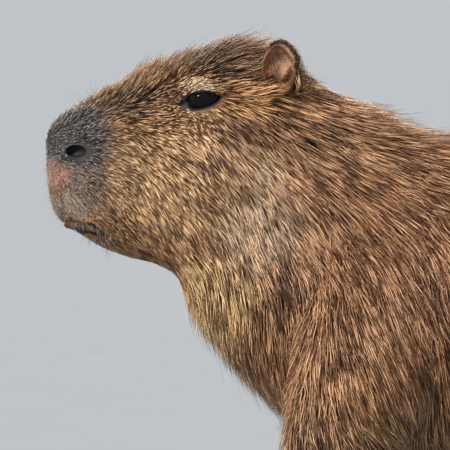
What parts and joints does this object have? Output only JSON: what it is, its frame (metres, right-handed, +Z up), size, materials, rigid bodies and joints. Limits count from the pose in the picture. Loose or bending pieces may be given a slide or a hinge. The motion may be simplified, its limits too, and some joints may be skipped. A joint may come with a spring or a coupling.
{
  "type": "capybara",
  "caption": "Life-size still model of an adult capybara standing on its four feet with its head raised, in a coarse brown coat.",
  "frame": {"origin": "on the floor under the middle of the animal's length and width", "axes": "+X from the nose towards the rump, +Y to the animal's right side, +Z up"},
  "size_m": [1.1298, 0.3216, 0.5629],
  "materials": {
    "coat": "coarse brown hair",
    "face": "short brown and grey hair",
    "leg": "short dark brown hair",
    "ear": "thin bare skin",
    "eye": "wet dark gloss",
    "claw": "dark horn"
  },
  "bodies": {
    "root": {"head": "face", "neck": "coat", "chest": "coat", "barrel": "coat", "rump": "coat", "ear_left": "ear", "eye_left": "eye", "ear_right": "ear", "eye_right": "eye", "foreleg_left": "leg", "forefoot_left": "leg", "claw_forefoot_left_1": "claw", "claw_forefoot_left_2": "claw", "claw_forefoot_left_3": "claw", "claw_forefoot_left_4": "claw", "foreleg_right": "leg", "forefoot_right": "leg", "claw_forefoot_right_1": "claw", "claw_forefoot_right_2": "claw", "claw_forefoot_right_3": "claw", "claw_forefoot_right_4": "claw", "hindleg_left": "leg", "hindfoot_left": "leg", "claw_hindfoot_left_1": "claw", "claw_hindfoot_left_2": "claw", "claw_hindfoot_left_3": "claw", "hindleg_right": "leg", "hindfoot_right": "leg", "claw_hindfoot_right_1": "claw", "claw_hindfoot_right_2": "claw", "claw_hindfoot_right_3": "claw"}
  },
  "joints": []
}
